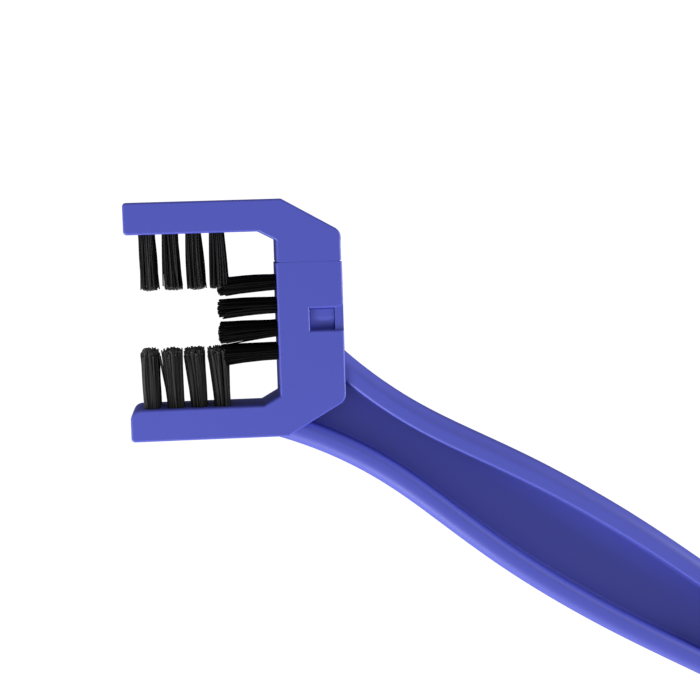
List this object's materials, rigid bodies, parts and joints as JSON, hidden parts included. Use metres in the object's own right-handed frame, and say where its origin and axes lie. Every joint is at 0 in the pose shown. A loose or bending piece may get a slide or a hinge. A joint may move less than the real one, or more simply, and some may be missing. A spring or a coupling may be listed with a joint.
{
  "type": "bicycle chain cleaning brush",
  "caption": "Three-sided bicycle chain brush with a snap-in upper arm, a waved channelled grip and a gear brush on its tail.",
  "frame": {"origin": "middle of the back face of the spine, halfway up the head", "axes": "+X from the mouth across the spine and along the grip, +Y along the spine to the snap-in arm, +Z out of the tool's face"},
  "size_m": [0.2178, 0.178, 0.02],
  "materials": {
    "blue_plastic": "semi-gloss moulded polypropylene, blue-violet",
    "bristle": "black nylon filament, cut ends paler",
    "anchor_wire": "flat drawn wire"
  },
  "bodies": {
    "handle_body": {"handle": "blue_plastic", "spine_tufts_front": "bristle", "spine_tufts_middle": "bristle", "spine_tufts_back": "bristle", "spine_anchors_front": "anchor_wire", "spine_anchors_middle": "anchor_wire", "spine_anchors_back": "anchor_wire", "lower_arm_tufts_front": "bristle", "lower_arm_tufts_middle": "bristle", "lower_arm_tufts_back": "bristle", "lower_arm_anchors_front": "anchor_wire", "lower_arm_anchors_middle": "anchor_wire", "lower_arm_anchors_back": "anchor_wire", "tail_tufts_front": "bristle", "tail_tufts_middle": "bristle", "tail_tufts_back": "bristle", "tail_anchors_front": "anchor_wire", "tail_anchors_middle": "anchor_wire", "tail_anchors_back": "anchor_wire"},
    "upper_arm_body": {"upper_arm": "blue_plastic", "upper_arm_tufts_front": "bristle", "upper_arm_tufts_middle": "bristle", "upper_arm_tufts_back": "bristle", "upper_arm_anchors_front": "anchor_wire", "upper_arm_anchors_middle": "anchor_wire", "upper_arm_anchors_back": "anchor_wire"},
    "latch_body": {"latch_finger": "blue_plastic"}
  },
  "joints": [
    {"name": "upper_arm_slide", "type": "slide", "parent": "handle_body", "child": "upper_arm_body", "axis": [0, 1, 0], "range_m": [0, 0.022], "deforming": ["latch_finger"]},
    {"name": "latch_flex", "type": "hinge", "parent": "upper_arm_body", "child": "latch_body", "pos_m": [0.0031, 0.0124, 0.01635], "axis": [1, 0, 0], "range_deg": [0, 10], "stiffness_Nm_per_rad": 0.6}
  ]
}
